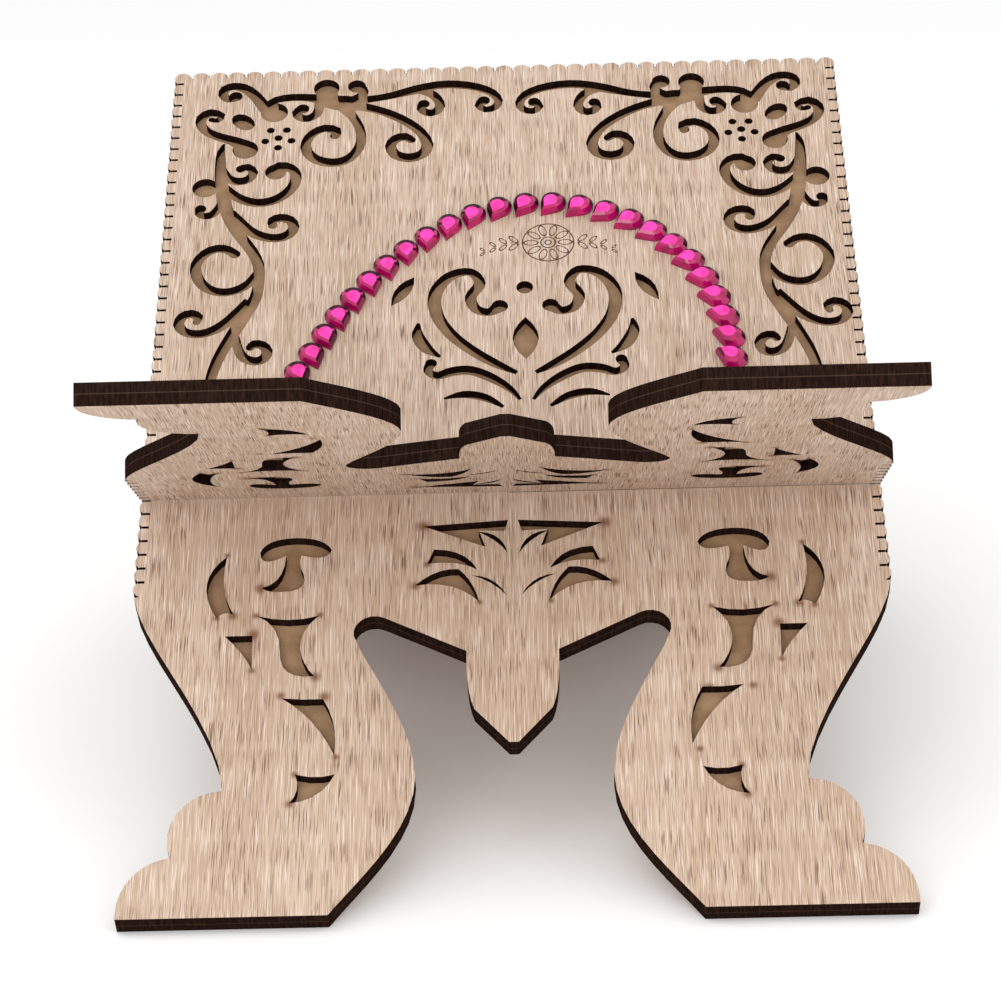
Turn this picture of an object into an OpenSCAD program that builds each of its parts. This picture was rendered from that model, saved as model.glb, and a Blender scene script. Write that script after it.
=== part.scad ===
// Folding book stand: two identical laminated boards that cross in an X.
// Each board is a cut-out face sheet glued on a plain backing sheet, with a row of
// pear-shaped stones on its book panel. A half-length slot lets the boards interlock.
// Board frame: origin on the crossing line of the two carved faces, +X along that line,
// +Y up the book panel, +Z out of the carved face.

/* [Board] */
// Width of each board
board_w = 200; // [198:1:210]
// Length of the book panel above the crossing line
panel_h = 168; // [168:1:190]
// Length of the legs below the crossing line
leg_l = 132; // [131:1:140]
// Thickness of the carved face sheet
face_t = 2.8; // [2:0.1:4]
// Thickness of the backing sheet
back_t = 2.8; // [2:0.1:4]

/* [Crossing] */
// Angle between the two pairs of legs as the stand rests
rest_angle = 60; // [55:1:80]
// Gap between each slot wall and the board that passes through it
slot_gap = 0.2; // [0.1:0.05:0.5]

/* [Scalloped edge] */
// Number of scallops across the top
top_scallops = 37; // [31:2:41]
// Length of one scallop on the sides
side_pitch = 4.6667; // [4.2:0.0001:5]
// Depth of the slit at the foot of each notch
slit_depth = 1.3; // [0.6:0.1:1.6]

/* [Stones] */
// Number of stones on each board
stone_count = 27; // [5:1:27]
// Distance between neighbouring stones along the row
stone_pitch = 7.86; // [7.8:0.02:8]
// Length of a stone from its round end to its point
stone_l = 9.8; // [8.6:0.1:9.8]
// Width of a stone
stone_w = 7.4; // [6.6:0.1:7.4]
// Height of a stone above the board
stone_h = 3.1; // [2:0.1:3.6]

/* [Hidden] */
two_digits = function(i) i < 10 ? str("0", i) : str(i);
STONES_A = [for (i = [1:stone_count]) str("stone_a_", two_digits(i))];
STONES_B = [for (i = [1:stone_count]) str("stone_b_", two_digits(i))];

board_t = face_t + back_t;
half_w = board_w / 2;
// A board that crosses another at the rest angle spans this much of the other's slot.
slot_w = board_t / tan(rest_angle / 2);
// Lean of board A from the horizontal, where its feet and board B's top edge both touch the ground.
lean = atan((panel_h * sin(rest_angle) - board_t) / (leg_l + panel_h * cos(rest_angle)));
dip = rest_angle - lean;
joint_z = panel_h * sin(dip);
joint_y = (leg_l * cos(dip) - panel_h * cos(dip) - board_t * sin(dip)) / 2;

notch_depth = 1.6;
side_scallop_r = 2.5;
top_pitch = board_w / top_scallops;
top_scallop_r = (pow(top_pitch / 2, 2) + pow(notch_depth, 2)) / (2 * notch_depth);
first_notch = -7;
last_notch = floor((panel_h - 3) / side_pitch);
slit_w = 0.8;

face_colour = [0.80, 0.66, 0.54];
back_colour = [0.55, 0.40, 0.26];
stone_colour = [0.90, 0.10, 0.50];

// ---- curves ----

// Quadratic curve from a to b pulled towards c, without its last point.
function bow(a, c, b, n = 6) = [for (i = [0:n - 1]) let (t = i / n)
    a * (1 - t) * (1 - t) + c * 2 * t * (1 - t) + b * t * t];

// Cubic curve from a to b with handles c and d, without its last point.
function sweep(a, c, d, b, n = 9) = [for (i = [0:n - 1]) let (t = i / n, s = 1 - t)
    a * s * s * s + c * 3 * s * s * t + d * 3 * s * t * t + b * t * t * t];

// Elliptical arc about c between two angles, both ends included.
function lobe(c, rx, ry, from, to, n = 8) = [for (i = [0:n]) let (a = from + (to - from) * i / n)
    [c.x + rx * cos(a), c.y + ry * sin(a)]];

// Point at t between p1 and p2 on the smooth curve through p0 to p3, width included.
function spline(p0, p1, p2, p3, t) = 0.5 * (2 * p1 + (p2 - p0) * t
    + (2 * p0 - 5 * p1 + 4 * p2 - p3) * t * t + (3 * p1 - p0 - 3 * p2 + p3) * t * t * t);

function spine(p, n) = let (last = len(p) - 1) concat(
    [for (i = [0:last - 1], j = [0:n - 1])
        spline(p[max(i - 1, 0)], p[i], p[i + 1], p[min(i + 2, last)], j / n)],
    [p[last]]);

function flat(p) = [p.x, p.y];
function normal_at(q, i) = let (d = flat(q[min(i + 1, len(q) - 1)]) - flat(q[max(i - 1, 0)]))
    [-d.y, d.x] / norm(d);

// Ribbon of changing width along points [x, y, width], with n steps between points.
module ribbon(p, n = 2) {
    q = spine(p, n);
    last = len(q) - 1;
    polygon(concat(
        [for (i = [0:last]) flat(q[i]) + normal_at(q, i) * q[i].z / 2],
        [for (i = [last:-1:0]) flat(q[i]) - normal_at(q, i) * q[i].z / 2]));
}

// Ribbon that starts in a round eye, a touch wider than itself, and ends square.
module curl(p, n = 2) {
    ribbon(p, n);
    translate(flat(p[0])) circle(d = p[0].z + 0.14, $fn = 32);
}

module dot(x, y, r) {
    translate([x, y]) circle(r, $fn = 32);
}

// A shape and its mirror image. The right-hand one can be moved a little, as the artwork is.
module both_sides(shift = [0, 0]) {
    translate(shift) children();
    mirror([1, 0]) children();
}

// ---- outline of a board ----

function leg_edge() = concat(
    sweep([half_w - 0.4, -33], [half_w - 3, -49], [76, -72], [73, -95]),
    lobe([73.5, -109], 13, 14, 90, -23),
    lobe([84, -130], 14, 15.5, 80, 0),
    [[98, -leg_l]],
    sweep([46, -leg_l], [38, -121], [25, -108], [25, -92]),
    sweep([25, -92], [25, -78], [36, -60], [41, -49]),
    lobe([36, -46.4], 5.4, 5.4, -10, 118, 7),
    [[12, -53]],
    bow([12, -58], [11.8, -67], [10, -71.5], 4),
    [[10, -71.5], [1.2, -82]]);

module edge_scallops() {
    both_sides() {
        for (k = [first_notch:last_notch - 1])
            translate([half_w - side_scallop_r, (k + 0.5) * side_pitch])
                circle(side_scallop_r, $fn = 32);
        translate([half_w - side_scallop_r, panel_h - side_scallop_r])
            circle(side_scallop_r, $fn = 32);
    }
    for (k = [1:top_scallops - 2])
        translate([-half_w + (k + 0.5) * top_pitch, panel_h - top_scallop_r])
            circle(top_scallop_r, $fn = 32);
}

// The panel inside its scallops, both legs and the pendant between them, in one loop.
module body_outline() {
    inset = half_w - notch_depth;
    edge = concat([[inset, panel_h - notch_depth], [inset, -33]], leg_edge());
    polygon(concat([for (p = edge) [-p.x, p.y]], [for (i = [len(edge) - 1:-1:0]) edge[i]]));
}

module notch_slits() {
    both_sides() for (k = [first_notch + 1:last_notch])
        translate([half_w - notch_depth - slit_depth, k * side_pitch - slit_w / 2])
            square([slit_depth + 0.4, slit_w]);
    for (k = [1:top_scallops - 1])
        translate([-half_w + k * top_pitch - slit_w / 2, panel_h - notch_depth - slit_depth / 2])
            square([slit_w, slit_depth / 2 + 0.4]);
}

module slot() {
    translate([-slot_gap, -slot_gap])
        square([half_w + slot_gap + 1, slot_w + 2 * slot_gap]);
}

module board_outline() {
    difference() {
        union() {
            body_outline();
            edge_scallops();
        }
        notch_slits();
        slot();
    }
}

// ---- cut-outs: legs ----

module leg_cutouts() {
    polygon(concat(
        bow([75.5, -20], [84.5, -28], [77.5, -40.5], 8),
        bow([77.5, -40.5], [75.3, -37.8], [73, -39.5], 3),
        bow([73, -39.5], [77.5, -31], [75.5, -20], 6)));
    polygon(concat([[67.8, -46.5]], bow([75, -46.5], [69.8, -52], [67.5, -57.5], 4),
        [[67.5, -57.5]]));
    polygon(concat(
        bow([66.8, -19], [65.5, -14.3], [57.5, -14.2], 6),
        bow([57.5, -14.2], [49.5, -14.3], [47.7, -18.6], 6),
        bow([47.7, -18.6], [48.5, -22.5], [55.8, -20.2], 5),
        bow([55.8, -20.2], [56.6, -23.5], [55, -26.5], 3),
        bow([55, -26.5], [53.2, -32.5], [61, -32.3], 5),
        bow([61, -32.3], [64.5, -32.4], [66, -30.8], 3),
        bow([66, -30.8], [60, -29.5], [59.8, -20.2], 5),
        bow([59.8, -20.2], [66.8, -24.3], [66.8, -19], 5)));
    polygon(concat(
        bow([67, -40], [58.5, -43], [50.5, -40.4], 4),
        bow([50.5, -40.4], [55.5, -45], [55.2, -51], 4),
        bow([55.2, -51], [54.6, -56], [51.3, -60], 4),
        bow([51.3, -60], [60.5, -61], [60.4, -52], 6),
        bow([60.4, -52], [60.5, -43], [67, -40], 4)));
}

module horn_cutout() {
    polygon(concat(
        bow([59.5, -66.8], [54, -67.6], [48.8, -67.3], 2),
        bow([48.8, -67.3], [44.5, -75], [45.5, -85], 5),
        bow([45.5, -85], [50.5, -73], [59.5, -66.8], 6)));
}

module flag_cutout() {
    polygon(concat(
        bow([55.2, -90.5], [50, -92.3], [45.2, -90.7], 3),
        bow([45.2, -90.7], [48.5, -98.5], [56.5, -99.2], 5),
        bow([56.5, -99.2], [53.5, -95.5], [55.2, -90.5], 4)));
}

// ---- cut-outs: flower below the crossing ----

module flower_cutouts() {
    polygon([[23.5, -11.2], [0.7, -9.7], [1.7, -13.4], [8.6, -13.1], [6.8, -18.7]]);
    polygon(concat(
        bow([9, -13.4], [2.2, -13.8], [0.9, -21], 5),
        bow([0.9, -21], [3.4, -16.4], [9, -13.4], 4)));
    polygon(concat(
        bow([20.5, -19.2], [12, -19.4], [9, -26.3], 5),
        bow([9, -26.3], [14, -22.8], [22.3, -24], 4),
        [[22.3, -24]]));
    polygon(concat(
        bow([25.5, -31.2], [20, -25.4], [14, -26], 5),
        bow([14, -26], [10, -30], [8.6, -37], 5),
        bow([8.6, -37], [15, -29.4], [25.5, -31.2], 6)));
    polygon(concat(
        bow([10.6, -28.2], [4.4, -28.4], [1.2, -35.2], 5),
        bow([1.2, -35.2], [5.2, -30], [10.6, -28.2], 4)));
}

// ---- cut-outs: corner scrolls of the book panel ----

module stem_scroll() {
    ribbon([[83.6, 137, 0.6], [84.4, 133.5, 2.4], [84.3, 128.5, 3.3], [84, 123, 3.6], [83.2, 117, 4.2],
        [82, 110.5, 4], [80.2, 104.5, 3.8], [77.2, 98.5, 3.6], [73.6, 92.5, 3.5], [71.5, 87, 3.4],
        [71, 80.5, 3.2], [71.8, 74, 3.6], [74, 68.5, 4], [76.6, 62.5, 3.8], [79.4, 56, 3.6],
        [81.6, 50, 3.4], [83.2, 43, 3], [84, 36, 1.2]]);
}

module outer_curls() {
    curl([[81, 157.3, 3.9], [83.3, 156.2, 3], [84.9, 158.3, 3.1], [84.3, 160.7, 3.2], [81.9, 161.8, 3.2],
        [78.8, 161, 3.6], [75.8, 158.2, 3.8], [73.6, 154.8, 4], [71.6, 151.4, 4.4]]);
    dot(69.1, 149.9, 4.1);
    ribbon([[71.8, 152.4, 3], [68.6, 155.4, 2.9], [64, 156.3, 3.1], [59, 156, 3.3], [54, 155, 4.6]]);
    curl([[87.9, 147.5, 1.8], [86.1, 147.1, 2], [84.9, 149.2, 2.4], [88.3, 150.5, 3.4],
        [90.9, 148.3, 3.4], [90.8, 145, 3.2], [88.7, 142.1, 3.2], [85, 139.9, 3.4], [81, 138.2, 3.8],
        [77.6, 135.8, 5.5]]);
    dot(77.2, 134.3, 3.8);
    translate([78.3, 146.1]) rotate(45) polygon(lobe([0, 0], 4.1, 2.9, 0, 330, 11));
}

module top_curls() {
    curl([[60.6, 151.2, 3.8], [62.3, 149.6, 3.2], [61.3, 147.5, 3], [58.8, 147, 3], [56.4, 148.8, 3],
        [55.7, 151.6, 3], [55.6, 155, 3.2]]);
    dot(53.6, 159.8, 3.9);
    ribbon([[53.4, 159.5, 5.2], [52.6, 156.5, 5], [51.4, 153.2, 5.4]]);
    dot(44.5, 160.4, 2.7);
    ribbon([[43.2, 160.4, 2.6], [42.4, 158.2, 3], [43.2, 156, 3.4], [45.4, 154.2, 4]]);
    dot(45.4, 151, 1.6);
    ribbon([[55.4, 155, 4.6], [52, 153.8, 5.6], [48, 153.2, 6.6], [43.2, 153.6, 4.4]]);
    curl([[6.2, 152.8, 3.6], [7.7, 150.8, 2.6], [5.6, 148.9, 2.6], [2.8, 149.9, 2.6], [1.7, 152.6, 2.6],
        [3.6, 156.1, 3.1], [8, 158.7, 3.3], [14, 160.1, 3.5], [20, 160.1, 3.5], [27, 158.2, 3.8],
        [33, 156.3, 3], [38, 155.1, 2.8], [44.2, 154.2, 3.2]]);
    curl([[24.2, 152, 3.4], [25, 150, 2.8], [23.2, 148.2, 3], [20.8, 148.4, 3], [19.3, 150.8, 3],
        [20.2, 154.2, 3.1], [22.6, 156.8, 3.2], [26, 157.8, 2.4]]);
    curl([[27.9, 136.7, 2.6], [29.7, 138.1, 3.4], [32.5, 137.3, 3.5], [34, 134.3, 3.4], [32.6, 130.7, 3.6],
        [28.6, 129.1, 3.8], [24.5, 130.6, 3.6], [23, 134.6, 3.6], [25, 139.8, 3.3], [29, 144.2, 3.4],
        [34, 147.8, 3.4], [39, 150.3, 3.2], [44.5, 152, 4]]);
    curl([[50.6, 139.3, 2.8], [50.4, 141.5, 3.4], [53.8, 142.6, 3.2], [57.2, 140.6, 3], [59.1, 137, 3.2],
        [58.8, 132.8, 3.4], [56, 129.4, 3.6], [51.6, 127.9, 3.6], [47.6, 128.7, 3.4], [44.6, 131.5, 3.2],
        [42.8, 136.5, 3.1], [43.4, 142.5, 3], [45.8, 147.8, 3.2], [48.4, 152, 5]]);
}

module side_curls() {
    curl([[78.2, 126.2, 2.8], [76.2, 127, 2.8], [74.4, 124.7, 2.9], [75.7, 121.9, 3],
        [78.8, 121, 3.2], [82, 122.6, 3.1], [84.2, 127, 3]]);
    curl([[67.8, 124.6, 6.2], [66.4, 127, 3.8], [63.6, 126.2, 3.4], [61.8, 123.4, 3.3], [62, 119.8, 3.4],
        [63.8, 116.3, 3.4], [67, 113.4, 3.4], [71, 112, 3.4], [75.2, 112.5, 3.4], [79.2, 114.8, 3.3],
        [82.6, 118.5, 3]]);
    dot(88.4, 118.6, 3.8);
    curl([[89.3, 110, 3.2], [89.6, 108.1, 2.6], [88, 107.1, 2.6], [85.8, 107.6, 2.8], [84.2, 110, 2.6],
        [83.4, 113.2, 1.6]]);
    curl([[67.9, 102.6, 2.6], [68, 104.6, 3.2], [65.8, 105.6, 3.4], [63, 104.7, 3.3], [61.7, 101.8, 3.3],
        [63.1, 98.8, 3.4], [66.6, 97.4, 3.4], [70.7, 98.2, 3.4], [74.6, 100.6, 3.6], [77.6, 104.2, 3.6],
        [80.4, 108.5, 2.6]]);
    curl([[78.5, 91.4, 3.2], [80.6, 93.2, 3.2], [83.6, 93.8, 3.2], [87, 92, 3.3], [89.4, 87.8, 3.3],
        [89.1, 83.2, 3.4], [87.1, 79.4, 3.4], [84, 77, 3.2], [80.4, 76.4, 3.1], [76.8, 77.4, 3.1],
        [73.8, 79.8, 3], [71.6, 83.5, 3]]);
    curl([[88.1, 65, 2], [87.8, 67, 3], [89.8, 68.4, 3.2], [92.3, 67.3, 3.2], [93.2, 64.3, 3.2],
        [91.6, 61.6, 3.1], [88.4, 60.5, 3.1], [84.6, 61.1, 3.2], [80.4, 63.8, 3.6], [76.6, 68, 4],
        [73.6, 73, 3]]);
    curl([[72.5, 54.9, 2.4], [71.5, 56.1, 3.1], [69.2, 55.7, 3.2], [67.7, 53.4, 3.2], [68.4, 50.7, 3.2],
        [71, 49.6, 3.2], [74, 50.9, 3.1], [75.8, 54, 2.9], [77, 59, 2.6]]);
}

module star_dots() {
    dot(67.5, 138.9, 1.25);
    for (i = [0:4]) translate([67.5, 138.9]) rotate(72 * i - 90) translate([4.1, 0]) circle(1.2, $fn = 24);
}

module corner_cutouts() {
    stem_scroll();
    outer_curls();
    top_curls();
    side_curls();
    star_dots();
}

// ---- cut-outs: leaf arabesque in the middle of the book panel ----

module arabesque_half() {
    curl([[7.2, 68.4, 4.6], [10.2, 66.2, 3], [14, 67.6, 3.2], [15.4, 72.2, 3.4], [12.8, 77.4, 3.4],
        [15.6, 82, 3], [21.4, 80.4, 3.6], [25.4, 74, 4], [25, 65.6, 3.8], [21, 58, 3.6], [15, 51.6, 3.4],
        [8.6, 46.6, 3], [2.6, 43, 1.4]], 4);
    curl([[26.6, 47.2, 3.2], [27.4, 44.4, 2.6], [24.8, 42.6, 2.8], [20.6, 44, 3.4], [15.4, 44.2, 3.4],
        [9.6, 41.2, 3.2], [4.6, 37, 2.2], [1.8, 33, 1]], 4);
    ribbon([[30.2, 62.6, 0.8], [30.4, 58, 3.4], [28, 53, 3.6], [24, 49.6, 0.8]], 4);
    ribbon([[6.5, 30.5, 1], [11.5, 34, 2.8], [17.5, 35.4, 2.6], [23, 34, 0.6]], 4);
    polygon(concat(bow([31.5, 80.5], [38.5, 77.5], [38, 69.5], 5), bow([38, 69.5], [31, 73], [31.5, 80.5], 5)));
}

module arabesque_cutouts() {
    both_sides() arabesque_half();
    polygon(concat(bow([0, 64], [7.4, 56], [0, 48], 6), bow([0, 48], [-7.4, 56], [0, 64], 6)));
    translate([0, 75.5]) circle(2.4, $fn = 32);
}

module face_shape() {
    difference() {
        board_outline();
        both_sides([1.8, 0]) leg_cutouts();
        both_sides([-0.4, 1.2]) horn_cutout();
        both_sides([2.2, 0]) flag_cutout();
        both_sides([1.2, 0]) flower_cutouts();
        both_sides([2.8, -1.2]) corner_cutouts();
        translate([5, 0]) arabesque_cutouts();
    }
}

module board_face() {
    color(face_colour) translate([0, 0, -face_t]) linear_extrude(face_t) face_shape();
}

module board_back() {
    color(back_colour) translate([0, 0, -board_t]) linear_extrude(back_t) board_outline();
}

// ---- row of stones ----

// Middle line of the row, from its right end over the top to its left end.
row_line = spine([[62, 38.4], [62.1, 47], [61.6, 56], [59.5, 66.5], [55.5, 77], [49.5, 87.2], [41, 96],
    [31, 102.5], [20.5, 106.3], [9, 107.6], [-2.5, 106], [-13, 101.7], [-22.5, 95], [-31.5, 86.8],
    [-40, 76.4], [-47.5, 65], [-54, 52], [-60.5, 39.8], [-65, 31]], 5);

// Distance along the line to each of its points.
row_run = [for (i = 0, run = 0; i < len(row_line);
    run = run + (i < len(row_line) - 1 ? norm(row_line[i + 1] - row_line[i]) : 0), i = i + 1) run];

function along_row(run) = let (k = max([for (i = [0:len(row_line) - 2]) if (row_run[i] <= run) i]))
    row_line[k] + (row_line[k + 1] - row_line[k]) * (run - row_run[k]) / (row_run[k + 1] - row_run[k]);

// Turn of stone i: the points swing from up-and-left at the right end to straight down at the left.
function stone_turn(i) = i < 19 ? 142 + 7.5 * i : 284.5 + 1.2 * (i - 19);

// Pear outline: round at the back, pointed along +X. Its middle is the origin.
function pear() = let (r = stone_w / 2, tip = stone_l / 2)
    concat([[tip, 0]], [for (i = [0:12]) let (a = 55 + 250 * i / 12) [r * cos(a) + r - tip, r * sin(a)]]);

// Facetted stone: rings of [height, size, shift towards the point], from the flat back to the table.
module stone() {
    rings = [[0, 1, 0], [1, 1, 0], [0.78 * stone_h, 0.82, 0.4], [stone_h, 0.54, 1]];
    outline = pear();
    n = len(outline);
    points = [for (r = rings, p = outline) [(p.x + 0.6) * r.y - 0.6 + r.z, p.y * r.y, r.x]];
    walls = [for (k = [0:2], i = [0:n - 1]) let (j = (i + 1) % n)
        [k * n + i, (k + 1) * n + i, (k + 1) * n + j, k * n + j]];
    color(stone_colour) polyhedron(points, concat(walls,
        [[for (i = [0:n - 1]) i]], [[for (i = [n - 1:-1:0]) 3 * n + i]]), convexity = 2);
}

module placed_stone(i) {
    translate(along_row(i * stone_pitch)) rotate(stone_turn(i)) stone();
}

// ---- the two boards in the resting pose ----

module board_a() {
    translate([0, joint_y, joint_z]) rotate([lean, 0, 0]) children();
}

module board_b() {
    board_a() rotate(180, [0, -cos(rest_angle / 2), sin(rest_angle / 2)]) children();
}

board_a() board_face();  // board_a_face
board_a() board_back();  // board_a_back
board_b() board_face();  // board_b_face
board_b() board_back();  // board_b_back
for (i = [0:stone_count - 1]) {
    board_a() placed_stone(i);
    board_b() placed_stone(i);
}
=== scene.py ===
"""Studio look of a folding book stand: two interlocking laminated boards with inset stones."""

import logging
import math
from dataclasses import dataclass
from enum import Enum
from typing import Any, Union

import bpy
from mathutils import Matrix, Vector


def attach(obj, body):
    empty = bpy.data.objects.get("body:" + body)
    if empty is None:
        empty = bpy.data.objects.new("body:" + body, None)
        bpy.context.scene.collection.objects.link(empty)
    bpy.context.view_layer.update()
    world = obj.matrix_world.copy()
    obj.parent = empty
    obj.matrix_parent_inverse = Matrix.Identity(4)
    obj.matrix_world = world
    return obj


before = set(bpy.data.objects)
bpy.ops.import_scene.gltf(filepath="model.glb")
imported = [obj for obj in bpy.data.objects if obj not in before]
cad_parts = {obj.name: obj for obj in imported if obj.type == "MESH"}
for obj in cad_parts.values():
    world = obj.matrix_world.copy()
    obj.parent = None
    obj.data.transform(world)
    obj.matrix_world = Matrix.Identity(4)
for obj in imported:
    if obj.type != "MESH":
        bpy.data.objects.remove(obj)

LOG = logging.getLogger("book_stand")
MM = 0.001
Socket = bpy.types.NodeSocket
Plug = Union[Socket, float, tuple]


class BoardSide(Enum):
    """The two boards: A stands on its feet, B rests on its top edge."""

    A = "a"
    B = "b"


def tint(red: int, green: int, blue: int) -> tuple[float, float, float, float]:
    """Turns a display colour into the linear colour a shader takes.

    Args:
        red: Red from 0 to 255.
        green: Green from 0 to 255.
        blue: Blue from 0 to 255.

    Returns:
        The linear colour with full opacity.
    """
    linear = [
        c / 12.92 if c <= 0.04045 else ((c + 0.055) / 1.055) ** 2.4
        for c in (red / 255, green / 255, blue / 255)
    ]
    return linear[0], linear[1], linear[2], 1.0


@dataclass(frozen=True)
class BoardPlace:
    """Where a board lies in the stand at rest. Its own frame has +Y up the book panel.

    Attributes:
        side: Which of the boards it is.
        joint_y: Height-wise crossing line, along the stand, in mm.
        joint_z: Height of the crossing line in mm.
        lean: Tilt of board A from the horizontal in degrees.
        half_wedge: Half the angle between the boards in degrees.
    """

    side: BoardSide
    joint_y: float = -17.302
    joint_z: float = 76.456
    lean: float = 32.929
    half_wedge: float = 30.0

    def matrix(self) -> Matrix:
        """Returns the move from the board's own frame, in metres, to the stand's."""
        crossing = Vector((0.0, self.joint_y, self.joint_z)) * MM
        pose = Matrix.Translation(crossing) @ Matrix.Rotation(math.radians(self.lean), 4, "X")
        if self.side is BoardSide.B:
            half = math.radians(self.half_wedge)
            bisector = Vector((0.0, -math.cos(half), math.sin(half)))
            pose = pose @ Matrix.Rotation(math.pi, 4, bisector)
        return pose

    def direction(self, x: float, y: float, z: float) -> tuple[float, float, float]:
        """Returns a direction of the board's frame in the stand's frame."""
        turned = self.matrix().to_3x3() @ Vector((x, y, z))
        return turned.x, turned.y, turned.z


# ---- laying out shader nodes ----


class NodeDesk:
    """Lays nodes out in one tree, left to right, and wires them."""

    def __init__(self, tree: bpy.types.NodeTree) -> None:
        """Takes the tree to work in."""
        self.tree = tree
        self.column = 0

    def add(self, kind: str, settings: dict[str, Any] | None = None,
            plugs: dict[Union[int, str], Plug] | None = None) -> bpy.types.Node:
        """Adds a node.

        Args:
            kind: The node's type name.
            settings: Values of its own properties.
            plugs: What each input takes: another node's output, or a constant.

        Returns:
            The new node.
        """
        node = self.tree.nodes.new(kind)
        node.location = (180 * self.column, -40 * (self.column % 5))
        self.column += 1
        for name, value in (settings or {}).items():
            setattr(node, name, value)
        for name, value in (plugs or {}).items():
            if isinstance(value, Socket):
                self.tree.links.new(value, node.inputs[name])
            else:
                node.inputs[name].default_value = value
        return node

    def math(self, operation: str, *values: Plug, clamp: bool = False) -> Socket:
        """Returns the result of a Math node on one to three values."""
        return self.add("ShaderNodeMath", {"operation": operation, "use_clamp": clamp},
                        dict(enumerate(values))).outputs[0]

    def step(self, value: Plug, low: float, high: float, start: float = 0.0,
             end: float = 1.0) -> Socket:
        """Returns a value eased from start to end as it goes from low to high."""
        return self.add("ShaderNodeMapRange", {"interpolation_type": "SMOOTHSTEP"},
                        {0: value, 1: low, 2: high, 3: start, 4: end}).outputs[0]

    def blend(self, share: Plug, first: Plug, second: Plug) -> Socket:
        """Returns the first colour giving way to the second by a share."""
        return self.add("ShaderNodeMix", {"data_type": "RGBA"},
                        {0: share, 6: first, 7: second}).outputs[2]

    def stretched_noise(self, vector: Socket, scale: tuple[float, float, float],
                        shift: float, detail: float = 2.0) -> Socket:
        """Returns noise whose marks are drawn out by a scale on each axis."""
        placed = self.add("ShaderNodeMapping", {"vector_type": "POINT"},
                          {0: vector, 1: (shift, shift, shift), 3: scale}).outputs[0]
        return self.add("ShaderNodeTexNoise", {},
                        {"Vector": placed, "Scale": 1.0, "Detail": detail,
                         "Roughness": 0.55}).outputs[0]


def new_group(name: str, takes: dict[str, str], gives: dict[str, str]) -> tuple[NodeDesk, Any, Any]:
    """Starts a shader node group.

    Args:
        name: The group's name.
        takes: Input names and socket types.
        gives: Output names and socket types.

    Returns:
        A desk for its tree, the node with its inputs and the node for its outputs.
    """
    tree = bpy.data.node_groups.new(name, "ShaderNodeTree")
    for label, kind in takes.items():
        tree.interface.new_socket(label, in_out="INPUT", socket_type=kind)
    for label, kind in gives.items():
        tree.interface.new_socket(label, in_out="OUTPUT", socket_type=kind)
    desk = NodeDesk(tree)
    return desk, desk.add("NodeGroupInput"), desk.add("NodeGroupOutput")


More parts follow.
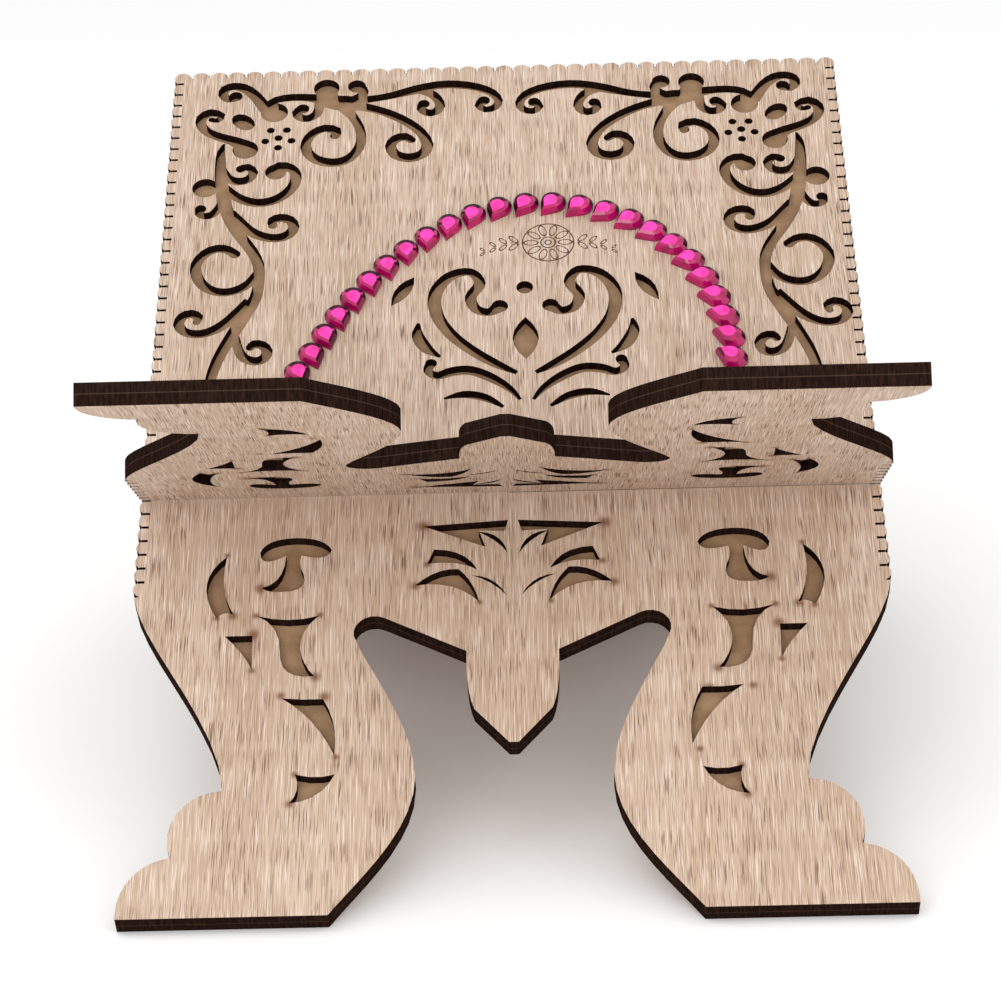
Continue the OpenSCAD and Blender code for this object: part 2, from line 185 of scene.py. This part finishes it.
@dataclass
class SharedEffects:
    """Node groups that more than one finish uses."""

    grain: bpy.types.NodeTree | None = None
    scorch: bpy.types.NodeTree | None = None
    cut_wall: bpy.types.NodeTree | None = None

    def build(self) -> None:
        """Makes every group once."""
        self.grain = self._grain()
        self.scorch = self._scorch()
        self.cut_wall = self._cut_wall()

    @staticmethod
    def _grain() -> bpy.types.NodeTree:
        """Wood figure along Y, in mm: short dark pores, pale rays, fibre and wide bands."""
        desk, taken, given = new_group(
            "wood_grain", {"Vector": "NodeSocketVector"},
            {"Pores": "NodeSocketFloat", "Rays": "NodeSocketFloat",
             "Fibre": "NodeSocketFloat", "Band": "NodeSocketFloat"})
        place = taken.outputs["Vector"]
        wander = desk.stretched_noise(place, (0.03, 0.012, 0.03), 4.0, 1.0)
        slide = desk.math("MULTIPLY_ADD", wander, 2.4, -1.2)
        shift = desk.add("ShaderNodeCombineXYZ", {}, {0: slide}).outputs[0]
        bent = desk.add("ShaderNodeVectorMath", {"operation": "ADD"},
                        {0: place, 1: shift}).outputs[0]
        pores = desk.step(desk.stretched_noise(bent, (4.0, 0.11, 1.0), 11.0, 1.0), 0.53, 0.66)
        rays = desk.step(desk.stretched_noise(bent, (3.8, 0.07, 1.0), 37.0, 1.0), 0.53, 0.66)
        fibre = desk.step(desk.stretched_noise(bent, (1.1, 0.02, 0.5), 71.0, 3.0), 0.35, 0.65)
        band = desk.step(desk.stretched_noise(bent, (0.07, 0.004, 0.07), 5.0, 1.0), 0.35, 0.65)
        clusters = desk.step(desk.stretched_noise(bent, (0.14, 0.03, 0.1), 23.0), 0.32, 0.62,
                             0.35, 1.0)
        links = desk.tree.links
        links.new(desk.math("MULTIPLY", pores, clusters), given.inputs["Pores"])
        links.new(rays, given.inputs["Rays"])
        links.new(fibre, given.inputs["Fibre"])
        links.new(band, given.inputs["Band"])
        return desk.tree

    @staticmethod
    def _scorch() -> bpy.types.NodeTree:
        """A smoky spot round a point, in mm, where a cut was started or turned."""
        desk, taken, given = new_group(
            "scorch_spot", {"Vector": "NodeSocketVector", "Centre": "NodeSocketVector",
                            "Radius": "NodeSocketFloat"}, {"Mask": "NodeSocketFloat"})
        gap = desk.add("ShaderNodeVectorMath", {"operation": "DISTANCE"},
                       {0: taken.outputs["Vector"], 1: taken.outputs["Centre"]}).outputs["Value"]
        share = desk.math("DIVIDE", gap, taken.outputs["Radius"])
        soft = desk.step(share, 0.1, 1.0, 1.0, 0.0)
        desk.tree.links.new(desk.math("POWER", soft, 1.6), given.inputs["Mask"])
        return desk.tree

    @staticmethod
    def _cut_wall() -> bpy.types.NodeTree:
        """Where a surface is a cut wall, and how char and streaks lie on it."""
        desk, taken, given = new_group(
            "cut_wall", {"Facing": "NodeSocketFloat", "Vector": "NodeSocketVector"},
            {"Wall": "NodeSocketFloat", "Streaks": "NodeSocketFloat"})
        flat = desk.math("ABSOLUTE", taken.outputs["Facing"])
        wall = desk.step(flat, 0.35, 0.6, 1.0, 0.0)
        streaks = desk.step(desk.stretched_noise(taken.outputs["Vector"], (1.5, 1.5, 0.25), 3.0),
                            0.35, 0.7)
        links = desk.tree.links
        links.new(wall, given.inputs["Wall"])
        links.new(streaks, given.inputs["Streaks"])
        return desk.tree


# ---- finishes ----


@dataclass(frozen=True)
class Finish:
    """What every finish shares: a name, the board it is for, and the shared effects."""

    place: BoardPlace
    effects: SharedEffects

    def label(self, kind: str) -> str:
        """Returns the material's name for this board."""
        return f"{kind}_{self.place.side.value}"

    def start(self, kind: str) -> tuple[bpy.types.Material, NodeDesk, bpy.types.Node]:
        """Makes an empty node material.

        Args:
            kind: The finish's name.

        Returns:
            The material, a desk for its tree and its surface shader.
        """
        material = bpy.data.materials.new(self.label(kind))
        material.use_nodes = True
        material.node_tree.nodes.clear()
        desk = NodeDesk(material.node_tree)
        shader = desk.add("ShaderNodeBsdfPrincipled")
        output = desk.add("ShaderNodeOutputMaterial")
        desk.tree.links.new(shader.outputs[0], output.inputs[0])
        return material, desk, shader

    def board_mm(self, desk: NodeDesk) -> Socket:
        """Returns the point on the board, in mm in the board's own frame."""
        matrix = self.place.matrix()
        source = desk.add("ShaderNodeTexCoord").outputs["Object"]
        return desk.add("ShaderNodeMapping", {"vector_type": "TEXTURE"}, {
            0: source, 1: tuple(matrix.translation), 2: tuple(matrix.to_euler("XYZ")),
            3: (MM, MM, MM)}).outputs[0]

    def facing(self, desk: NodeDesk, x: float, y: float, z: float) -> Socket:
        """Returns how far the surface faces along a direction of the board."""
        normal = desk.add("ShaderNodeTexCoord").outputs["Normal"]
        return desk.add("ShaderNodeVectorMath", {"operation": "DOT_PRODUCT"},
                        {0: normal, 1: self.place.direction(x, y, z)}).outputs["Value"]

    def group(self, desk: NodeDesk, tree: bpy.types.NodeTree,
              plugs: dict[str, Plug]) -> bpy.types.Node:
        """Adds a shared effect to the material."""
        return desk.add("ShaderNodeGroup", {"node_tree": tree}, plugs)


@dataclass(frozen=True)
class VeneerFinish(Finish):
    """Pale open-pored veneer with laser-burnt walls and smoky cut ends.

    Attributes:
        scorch_points: Cut ends on the right half, as x, y and radius in mm.
        art_middle: Middle line between the left and right artwork in mm.
    """

    scorch_points: tuple[tuple[float, float, float], ...] = (
        (74.0, -39.8, 2.6), (78.2, -40.6, 1.8), (76.4, -19.6, 1.6), (68.4, -46.2, 3.4),
        (68.4, -57.8, 1.8), (67.2, -31.0, 3.2), (52.0, -60.2, 2.8), (49.4, -66.6, 3.0),
        (60.6, -66.0, 2.2), (46.0, -85.4, 1.8), (57.2, -99.4, 2.4), (56.2, -90.6, 2.0),
        (24.2, -11.2, 3.4), (23.2, -24.2, 2.0), (26.2, -31.4, 2.6), (9.4, -37.2, 1.6),
        (68.0, -40.0, 2.0), (51.2, -40.2, 1.8))
    art_middle: float = 0.9

    def build(self) -> bpy.types.Material:
        """Returns the material."""
        material, desk, shader = self.start("veneer")
        point = self.board_mm(desk)
        grain = self.group(desk, self.effects.grain, {"Vector": point}).outputs
        colour = desk.blend(grain["Band"], tint(190, 168, 150), tint(179, 155, 135))
        colour = desk.blend(desk.math("MULTIPLY", grain["Fibre"], 0.6), colour,
                            tint(164, 138, 115))
        colour = desk.blend(desk.math("MULTIPLY", grain["Rays"], 0.75), colour,
                            tint(216, 200, 186))
        colour = desk.blend(desk.math("MULTIPLY", grain["Pores"], 0.85), colour,
                            tint(102, 72, 53))
        colour = desk.blend(self._smoke(desk, point), colour, tint(104, 60, 28))
        facing = self.facing(desk, 0, 0, 1)
        wall = self.group(desk, self.effects.cut_wall, {"Facing": facing, "Vector": point}).outputs
        char = desk.blend(wall["Streaks"], tint(24, 15, 12), tint(42, 27, 21))
        colour = desk.blend(wall["Wall"], colour, char)
        links = desk.tree.links
        links.new(colour, shader.inputs["Base Color"])
        links.new(desk.step(grain["Pores"], 0.0, 1.0, 0.52, 0.75), shader.inputs["Roughness"])
        height = desk.math("SUBTRACT", grain["Rays"], grain["Pores"])
        bump = desk.add("ShaderNodeBump", {}, {"Strength": 0.25, "Distance": 0.0001,
                                              "Height": height})
        links.new(bump.outputs[0], shader.inputs["Normal"])
        links.new(desk.step(wall["Wall"], 0.0, 1.0, 0.3, 0.0), shader.inputs["Specular IOR Level"])
        return material

    def _smoke(self, desk: NodeDesk, point: Socket) -> Socket:
        """Returns how smoky the veneer is round the ends of the leg cut-outs."""
        parts = desk.add("ShaderNodeSeparateXYZ", {}, {0: point}).outputs
        folded = desk.math("ABSOLUTE", desk.math("SUBTRACT", parts[0], self.art_middle))
        folded_point = desk.add("ShaderNodeCombineXYZ", {}, {0: folded, 1: parts[1]}).outputs[0]
        smoke: Plug = 0.0
        for x, y, radius in self.scorch_points:
            spot = self.group(desk, self.effects.scorch, {
                "Vector": folded_point, "Centre": (x, y, 0.0), "Radius": radius}).outputs[0]
            smoke = desk.math("MAXIMUM", smoke, spot)
        return desk.math("MULTIPLY", smoke, 0.8)


@dataclass(frozen=True)
class BackingFinish(Finish):
    """Brown fibreboard: smooth behind, smoke-stained where the cut-outs show it."""

    def build(self) -> bpy.types.Material:
        """Returns the material."""
        material, desk, shader = self.start("backing")
        point = self.board_mm(desk)
        facing = self.facing(desk, 0, 0, 1)
        cloud = desk.step(desk.stretched_noise(point, (0.16, 0.16, 0.16), 2.0), 0.3, 0.7)
        speck = desk.step(desk.stretched_noise(point, (3.2, 3.2, 3.2), 8.0, 3.0), 0.45, 0.7)
        front = desk.blend(cloud, tint(158, 127, 97), tint(138, 108, 80))
        rear = desk.blend(cloud, tint(160, 128, 96), tint(150, 118, 87))
        colour = desk.blend(desk.step(facing, -0.5, 0.5), rear, front)
        colour = desk.blend(desk.math("MULTIPLY", speck, 0.35), colour, tint(98, 71, 48))
        wall = self.group(desk, self.effects.cut_wall, {"Facing": facing, "Vector": point}).outputs
        char = desk.blend(wall["Streaks"], tint(24, 15, 12), tint(42, 28, 22))
        depth = desk.add("ShaderNodeSeparateXYZ", {}, {0: point}).outputs[2]
        glue = desk.math("MULTIPLY", desk.step(depth, -3.1, -2.95), 0.35)
        char = desk.blend(glue, char, tint(92, 70, 58))
        colour = desk.blend(wall["Wall"], colour, char)
        links = desk.tree.links
        links.new(colour, shader.inputs["Base Color"])
        links.new(desk.step(speck, 0.0, 1.0, 0.68, 0.85), shader.inputs["Roughness"])
        bump = desk.add("ShaderNodeBump", {}, {"Strength": 0.2, "Distance": 0.0001,
                                              "Height": speck})
        links.new(bump.outputs[0], shader.inputs["Normal"])
        links.new(desk.step(wall["Wall"], 0.0, 1.0, 0.25, 0.0), shader.inputs["Specular IOR Level"])
        return material


@dataclass(frozen=True)
class StoneFinish(Finish):
    """Foil-backed cut stone: a bright table, deep red flanks and a dark round end, the dark end
    being painted shade on the facets that face up the board.
    """

    def build(self) -> bpy.types.Material:
        """Returns the material."""
        material, desk, shader = self.start("stone")
        point = self.board_mm(desk)
        cells = desk.add("ShaderNodeTexVoronoi", {"feature": "F1"},
                         {"Vector": point, "Scale": 0.45}).outputs["Color"]
        sparkle = desk.add("ShaderNodeSeparateXYZ", {}, {0: cells}).outputs[0]
        table = desk.blend(sparkle, tint(240, 54, 176), tint(222, 20, 136))
        # Lit and shaded copies of the flank colour: bright is the lit copy, shade the painted-shade
        # copy.
        bright = desk.blend(sparkle, tint(182, 8, 96), tint(140, 2, 68))
        shade = desk.blend(sparkle, tint(62, 0, 28), tint(30, 0, 12))
        outward = self.facing(desk, 0, 0, 1)
        flat = desk.step(outward, 0.97, 0.99)
        # Painted shade: facets that face up the board take the shade colour, chosen by the facet's
        # facing, not by light.
        dark = self._painted_shade(desk, outward, flat)
        colour = desk.blend(flat, desk.blend(dark, bright, shade), table)
        links = desk.tree.links
        links.new(colour, shader.inputs["Base Color"])
        links.new(desk.step(sparkle, 0.0, 1.0, 0.06, 0.16), shader.inputs["Roughness"])
        links.new(desk.step(dark, 0.0, 1.0, 0.45, 0.06), shader.inputs["Specular IOR Level"])
        links.new(desk.step(dark, 0.0, 1.0, 0.25, 0.0), shader.inputs["Coat Weight"])
        shader.inputs["Coat Roughness"].default_value = 0.03
        shader.inputs["IOR"].default_value = 1.49
        return material

    def _painted_shade(self, desk: NodeDesk, outward: Socket, flat: Socket) -> Socket:
        """Returns how much painted shade a facet gets: those that face up the board are painted
        dark, as if they didn't flash.

        Args:
            desk: The material's desk.
            outward: How far the surface faces out of the board.
            flat: Where the table is, which is never dark.

        Returns:
            0 on a lit facet, 1 on a facet painted dark as shade.
        """
        up_board = self.facing(desk, 0, 1, 0)
        inner_ring = desk.step(outward, 0.74, 0.78)
        outer_ring = desk.math("SUBTRACT", 1.0, inner_ring)
        steep = desk.math("MULTIPLY", outer_ring, desk.step(up_board, -0.45, -0.2))
        gentle = desk.math("MULTIPLY", inner_ring, desk.step(up_board, 0.12, 0.26))
        return desk.math("MULTIPLY", desk.math("ADD", steep, gentle),
                         desk.math("SUBTRACT", 1.0, flat))


@dataclass(frozen=True)
class BurntLineFinish(Finish):
    """The brown of a shallow engraved line, darker where the beam slowed."""

    def build(self) -> bpy.types.Material:
        """Returns the material."""
        material, desk, shader = self.start("burnt_line")
        uneven = desk.step(desk.stretched_noise(self.board_mm(desk), (0.5, 0.5, 0.5), 6.0),
                           0.35, 0.65)
        colour = desk.blend(uneven, tint(96, 60, 32), tint(58, 34, 18))
        desk.tree.links.new(colour, shader.inputs["Base Color"])
        desk.tree.links.new(desk.step(uneven, 0.0, 1.0, 0.7, 0.85), shader.inputs["Roughness"])
        return material


# ---- modelling by hand ----


def only(piece: bpy.types.Object) -> None:
    """Makes a piece the only thing selected."""
    bpy.ops.object.select_all(action="DESELECT")
    piece.select_set(True)
    bpy.context.view_layer.objects.active = piece


def join(pieces: list[bpy.types.Object], name: str) -> bpy.types.Object:
    """Joins pieces into the first of them.

    Args:
        pieces: The pieces, in one frame.
        name: The name of the result.

    Returns:
        The joined piece.
    """
    bpy.ops.object.select_all(action="DESELECT")
    for piece in pieces:
        piece.select_set(True)
    bpy.context.view_layer.objects.active = pieces[0]
    bpy.ops.object.join()
    pieces[0].name = name
    pieces[0].data.name = name
    return pieces[0]


@dataclass
class EngravedRosette:
    """A fine-line rosette with a sprig on either side, burnt into one board's face.

    Attributes:
        place: The board it is on.
        middle: Its centre on the board in mm.
        petals: Number of petals.
        petal_long: Length of a petal in mm.
        petal_wide: Width of a petal in mm.
        rings: Radii of the round lines in mm.
        sprig_leaves: Pairs of leaves in a sprig.
        leaf_tilt: How far a leaf is turned from the sprig's run, in radians.
        line: Width of a line in mm.
        lift: Height of the line above the face in mm.
    """

    place: BoardPlace
    middle: tuple[float, float] = (12.0, 93.0)
    petals: int = 10
    petal_long: float = 4.6
    petal_wide: float = 2.2
    rings: tuple[float, ...] = (1.1, 2.3, 7.6)
    sprig_leaves: int = 4
    leaf_tilt: float = 0.8
    line: float = 0.38
    lift: float = 0.03

    def build(self, material: bpy.types.Material) -> bpy.types.Object:
        """Models the lines and puts them on the board.

        Args:
            material: The burnt finish.

        Returns:
            The finished piece.
        """
        lines = [self._loop(radius, 1.0, (0.0, 0.0), 0.0) for radius in self.rings]
        reach = (self.rings[1] + self.rings[2]) / 2
        for k in range(self.petals):
            turn = 2 * math.pi * k / self.petals
            centre = (reach * math.cos(turn), reach * math.sin(turn))
            lines.append(self._loop(self.petal_long / 2, self.petal_wide / self.petal_long,
                                    centre, turn))
        for side in (-1, 1):
            lines += self._sprig(side)
        piece = join(lines, f"engraving_{self.place.side.value}")
        self._thicken(piece)
        x, y = self.middle
        piece.data.transform(self.place.matrix()
                             @ Matrix.Translation(Vector((x, y, self.lift / 2)) * MM))
        piece.data.materials.clear()
        piece.data.materials.append(material)
        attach(piece, f"board_{self.place.side.value}")
        return piece

    def _loop(self, radius: float, squash: float, centre: tuple[float, float],
              turn: float) -> bpy.types.Object:
        """Draws one closed line.

        Args:
            radius: Half its length in mm.
            squash: Its width over its length.
            centre: Its centre in mm.
            turn: How far its length is turned from X, in radians.

        Returns:
            The line as a flat band.
        """
        bpy.ops.object.select_all(action="DESELECT")
        bpy.ops.mesh.primitive_circle_add(vertices=28, radius=radius * MM, fill_type="NOTHING")
        piece = bpy.context.object
        bpy.ops.object.mode_set(mode="EDIT")
        bpy.ops.mesh.select_all(action="SELECT")
        bpy.ops.mesh.extrude_edges_move()
        inner = 1 - self.line / (radius * (1 + squash) / 2)
        bpy.ops.transform.resize(value=(inner, inner, 1))
        bpy.ops.mesh.select_all(action="SELECT")
        bpy.ops.transform.resize(value=(1, squash, 1))
        bpy.ops.object.mode_set(mode="OBJECT")
        x, y = centre
        piece.data.transform(Matrix.Translation(Vector((x, y, 0)) * MM)
                             @ Matrix.Rotation(turn, 4, "Z"))
        return piece

    def _sprig(self, side: int) -> list[bpy.types.Object]:
        """Draws a row of shrinking leaves beside the rosette."""
        leaves = []
        for k in range(self.sprig_leaves):
            x = side * (self.rings[-1] + 2.4 + 3.0 * k)
            for up in (-1, 1):
                centre = (x, up * (1.5 - 0.2 * k) - 0.35 * k * k)
                turn = up * side * self.leaf_tilt + (0 if side > 0 else math.pi)
                leaves.append(self._loop(1.9 - 0.3 * k, 0.45, centre, turn))
        return leaves

    def _thicken(self, piece: bpy.types.Object) -> None:
        """Gives the flat lines the lift they stand at."""
        only(piece)
        solid = piece.modifiers.new("thickness", "SOLIDIFY")
        solid.thickness = self.lift * MM
        solid.offset = 0.0
        bpy.ops.object.modifier_apply(modifier=solid.name)


# ---- the stand ----


@dataclass
class Board:
    """One board of the stand: face sheet, backing sheet, stones and engraved lines.

    Attributes:
        place: Where the board lies.
        effects: The shared node groups.
    """

    place: BoardPlace
    effects: SharedEffects

    def build(self) -> None:
        """Dresses the CAD nodes and adds the engraved lines."""
        side = self.place.side.value
        self._dress(f"board_{side}_face", VeneerFinish(self.place, self.effects).build())
        self._dress(f"board_{side}_back", BackingFinish(self.place, self.effects).build())
        stone = StoneFinish(self.place, self.effects).build()
        for name in sorted(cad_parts):
            if name.startswith(f"stone_{side}_"):
                self._dress(name, stone)
        burnt = BurntLineFinish(self.place, self.effects).build()
        engraving = EngravedRosette(self.place).build(burnt)
        LOG.info("%s: fine-line rosette, %d faces", engraving.name, len(engraving.data.polygons))

    @staticmethod
    def _dress(name: str, material: bpy.types.Material) -> None:
        """Puts one material on a CAD node."""
        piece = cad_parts[name]
        if not piece.material_slots:
            piece.data.materials.append(material)
        for place in piece.material_slots:
            place.material = material
        LOG.info("%s: %s", name, material.name)


@dataclass(frozen=True)
class SoftLamp:
    """A soft square lamp that faces the stand.

    Attributes:
        name: The lamp's name.
        at: Its place in metres.
        size: Its side in metres.
        power: Its power in watts.
    """

    name: str
    at: tuple[float, float, float]
    size: float
    power: float

    def hang(self) -> None:
        """Puts the lamp in the scene."""
        light = bpy.data.lights.new(self.name, "AREA")
        light.size = self.size
        light.energy = self.power
        lamp = bpy.data.objects.new(self.name, light)
        lamp.location = self.at
        lamp.rotation_euler = (-Vector(self.at)).to_track_quat("-Z", "Y").to_euler()
        bpy.context.collection.objects.link(lamp)


@dataclass
class Studio:
    """Pale floor, soft light and the camera.

    Attributes:
        camera_at: Place of the camera in metres.
        looks_at: Point in the middle of the view in metres.
        roll: Turn of the camera about its line of sight in degrees.
        sensor: Width of the camera's sensor in mm.
        lens: Focal length in mm.
        floor_size: Side of the floor in metres.
        floor_white: How much light the floor gives back.
        sky_strength: Strength of the light from all round.
        lamps: The lamps.
    """

    camera_at: tuple[float, float, float] = (0.00895, -0.82196, 0.33076)
    looks_at: tuple[float, float, float] = (-0.00269, -0.01802, 0.07433)
    roll: float = -1.624
    sensor: float = 36.0
    lens: float = 112.53
    floor_size: float = 12.0
    floor_white: float = 0.93
    sky_strength: float = 1.0
    lamps: tuple[SoftLamp, ...] = (
        SoftLamp("key", (-0.5, -0.5, 1.3), 0.9, 3.0),
        SoftLamp("fill", (0.7, -0.9, 0.7), 0.9, 2.0),
        SoftLamp("front", (-0.2, -1.3, 0.3), 1.0, 12.0))

    def build(self) -> None:
        """Makes the floor, the lights and the camera."""
        self._floor()
        self._sky()
        for lamp in self.lamps:
            lamp.hang()
        self._camera()
        bpy.context.scene.view_settings.view_transform = "Standard"

    def _floor(self) -> None:
        """Lays a wide matt white floor."""
        bpy.ops.object.select_all(action="DESELECT")
        bpy.ops.mesh.primitive_plane_add(size=self.floor_size, location=(0, 0, 0))
        floor = bpy.context.object
        floor.name = "studio_floor"
        material = bpy.data.materials.new("floor_white")
        material.use_nodes = True
        shader = material.node_tree.nodes["Principled BSDF"]
        white = self.floor_white
        shader.inputs["Base Color"].default_value = (white, white, white, 1)
        shader.inputs["Roughness"].default_value = 0.9
        shader.inputs["Specular IOR Level"].default_value = 0.0
        floor.data.materials.append(material)

    def _sky(self) -> None:
        """Lights the scene evenly from all round."""
        world = bpy.data.worlds.new("studio")
        world.use_nodes = True
        sky = world.node_tree.nodes["Background"]
        sky.inputs["Color"].default_value = (1.0, 1.0, 1.0, 1)
        sky.inputs["Strength"].default_value = self.sky_strength
        bpy.context.scene.world = world

    def _camera(self) -> None:
        """Sets the camera up."""
        data = bpy.data.cameras.new("camera")
        data.sensor_width = self.sensor
        data.lens = self.lens
        data.clip_start, data.clip_end = 0.05, 20.0
        camera = bpy.data.objects.new("camera", data)
        camera.location = self.camera_at
        sight = (Vector(self.looks_at) - Vector(self.camera_at)).to_track_quat("-Z", "Y")
        turned = sight.to_matrix() @ Matrix.Rotation(math.radians(self.roll), 3, "Z")
        camera.rotation_euler = turned.to_euler()
        bpy.context.collection.objects.link(camera)
        bpy.context.scene.camera = camera


def main() -> None:
    """Builds the stand's looks, then the studio round it."""
    logging.basicConfig(level=logging.INFO, format="%(name)s: %(message)s")
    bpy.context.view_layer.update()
    effects = SharedEffects()
    effects.build()
    for side in BoardSide:
        Board(BoardPlace(side), effects).build()
    Studio().build()


if __name__ == "__main__":
    main()
